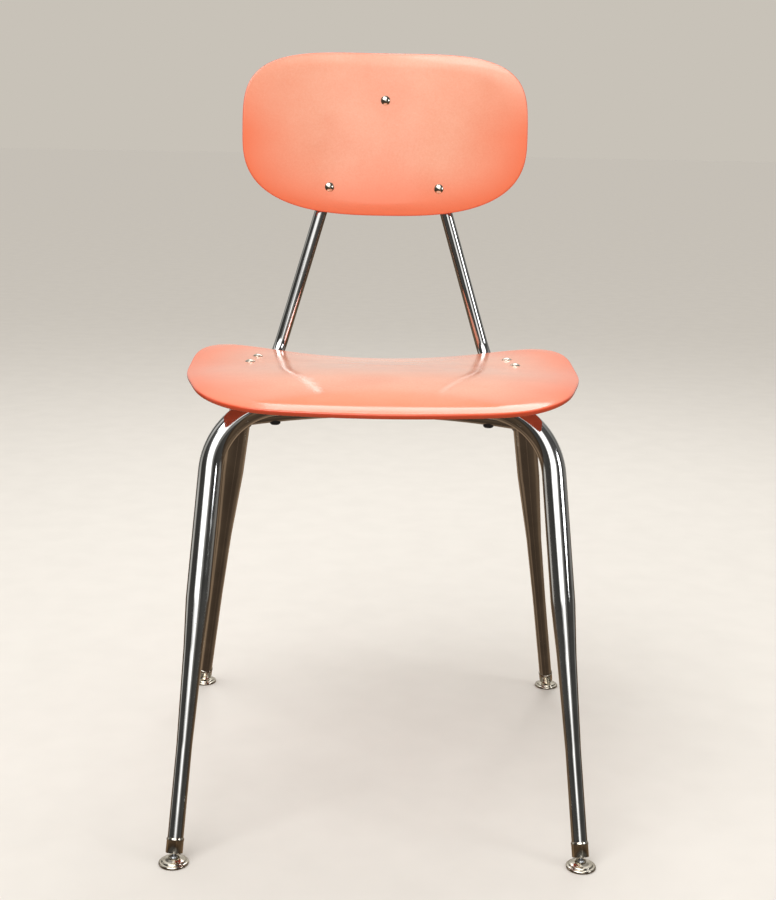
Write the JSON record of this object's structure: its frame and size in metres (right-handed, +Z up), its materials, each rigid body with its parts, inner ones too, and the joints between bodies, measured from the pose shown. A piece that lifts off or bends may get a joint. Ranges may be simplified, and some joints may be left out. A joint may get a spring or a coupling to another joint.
{
  "type": "stacking chair",
  "caption": "Four-legged stacking chair: moulded shell seat and backrest on a bent, swaged tube frame with swivel glides.",
  "frame": {"origin": "on the floor, under the middle of the chair's outer box", "axes": "+Z up from the floor, +X to the right of a viewer who faces the front of the chair, -Y out of the chair's front"},
  "size_m": [0.485, 0.5356, 0.811],
  "materials": {
    "coral_plastic": "glossy moulded shell, lightly worn",
    "chromed_tube": "bright chrome plate on steel tube",
    "nickel_plate": "bright nickel plate",
    "zinc_steel": "zinc-plated steel",
    "nylon": "natural nylon",
    "bumper_rubber": "black rubber"
  },
  "bodies": {
    "frame": {"seat_shell": "coral_plastic", "backrest_shell": "coral_plastic", "front_leg_frame": "chromed_tube", "rear_leg_left": "chromed_tube", "rear_leg_right": "chromed_tube", "rear_brace": "chromed_tube", "back_bow": "chromed_tube", "seat_rivets": "nickel_plate", "seat_saddle_washers": "nylon", "back_screws": "nickel_plate", "back_nuts": "nickel_plate", "back_saddle_washers": "nylon", "stacking_bumpers": "bumper_rubber", "ferrule_front_left": "nickel_plate", "leg_plug_front_left": "nylon", "glide_stem_front_left": "zinc_steel", "ferrule_front_right": "nickel_plate", "leg_plug_front_right": "nylon", "glide_stem_front_right": "zinc_steel", "ferrule_rear_left": "nickel_plate", "leg_plug_rear_left": "nylon", "glide_stem_rear_left": "zinc_steel", "ferrule_rear_right": "nickel_plate", "leg_plug_rear_right": "nylon", "glide_stem_rear_right": "zinc_steel"},
    "liner_front_left": {"glide_liner_front_left": "nylon"},
    "glide_front_left": {"glide_base_front_left": "nickel_plate"},
    "liner_front_right": {"glide_liner_front_right": "nylon"},
    "glide_front_right": {"glide_base_front_right": "nickel_plate"},
    "liner_rear_left": {"glide_liner_rear_left": "nylon"},
    "glide_rear_left": {"glide_base_rear_left": "nickel_plate"},
    "liner_rear_right": {"glide_liner_rear_right": "nylon"},
    "glide_rear_right": {"glide_base_rear_right": "nickel_plate"}
  },
  "joints": [
    {"name": "glide_roll_front_left", "type": "hinge", "parent": "frame", "child": "liner_front_left", "pos_m": [-0.2035, -0.2528, 0.0056], "axis": [0, 1, 0], "range_deg": [-8, 8]},
    {"name": "glide_pitch_front_left", "type": "hinge", "parent": "liner_front_left", "child": "glide_front_left", "pos_m": [-0.2035, -0.2528, 0.0056], "axis": [1, 0, 0], "range_deg": [-8, 8]},
    {"name": "glide_roll_front_right", "type": "hinge", "parent": "frame", "child": "liner_front_right", "pos_m": [0.2035, -0.2528, 0.0056], "axis": [0, 1, 0], "range_deg": [-8, 8]},
    {"name": "glide_pitch_front_right", "type": "hinge", "parent": "liner_front_right", "child": "glide_front_right", "pos_m": [0.2035, -0.2528, 0.0056], "axis": [1, 0, 0], "range_deg": [-8, 8]},
    {"name": "glide_roll_rear_left", "type": "hinge", "parent": "frame", "child": "liner_rear_left", "pos_m": [-0.2275, 0.2252, 0.0056], "axis": [0, 1, 0], "range_deg": [-6, 6]},
    {"name": "glide_pitch_rear_left", "type": "hinge", "parent": "liner_rear_left", "child": "glide_rear_left", "pos_m": [-0.2275, 0.2252, 0.0056], "axis": [1, 0, 0], "range_deg": [-6, 6]},
    {"name": "glide_roll_rear_right", "type": "hinge", "parent": "frame", "child": "liner_rear_right", "pos_m": [0.2275, 0.2252, 0.0056], "axis": [0, 1, 0], "range_deg": [-6, 6]},
    {"name": "glide_pitch_rear_right", "type": "hinge", "parent": "liner_rear_right", "child": "glide_rear_right", "pos_m": [0.2275, 0.2252, 0.0056], "axis": [1, 0, 0], "range_deg": [-6, 6]}
  ]
}
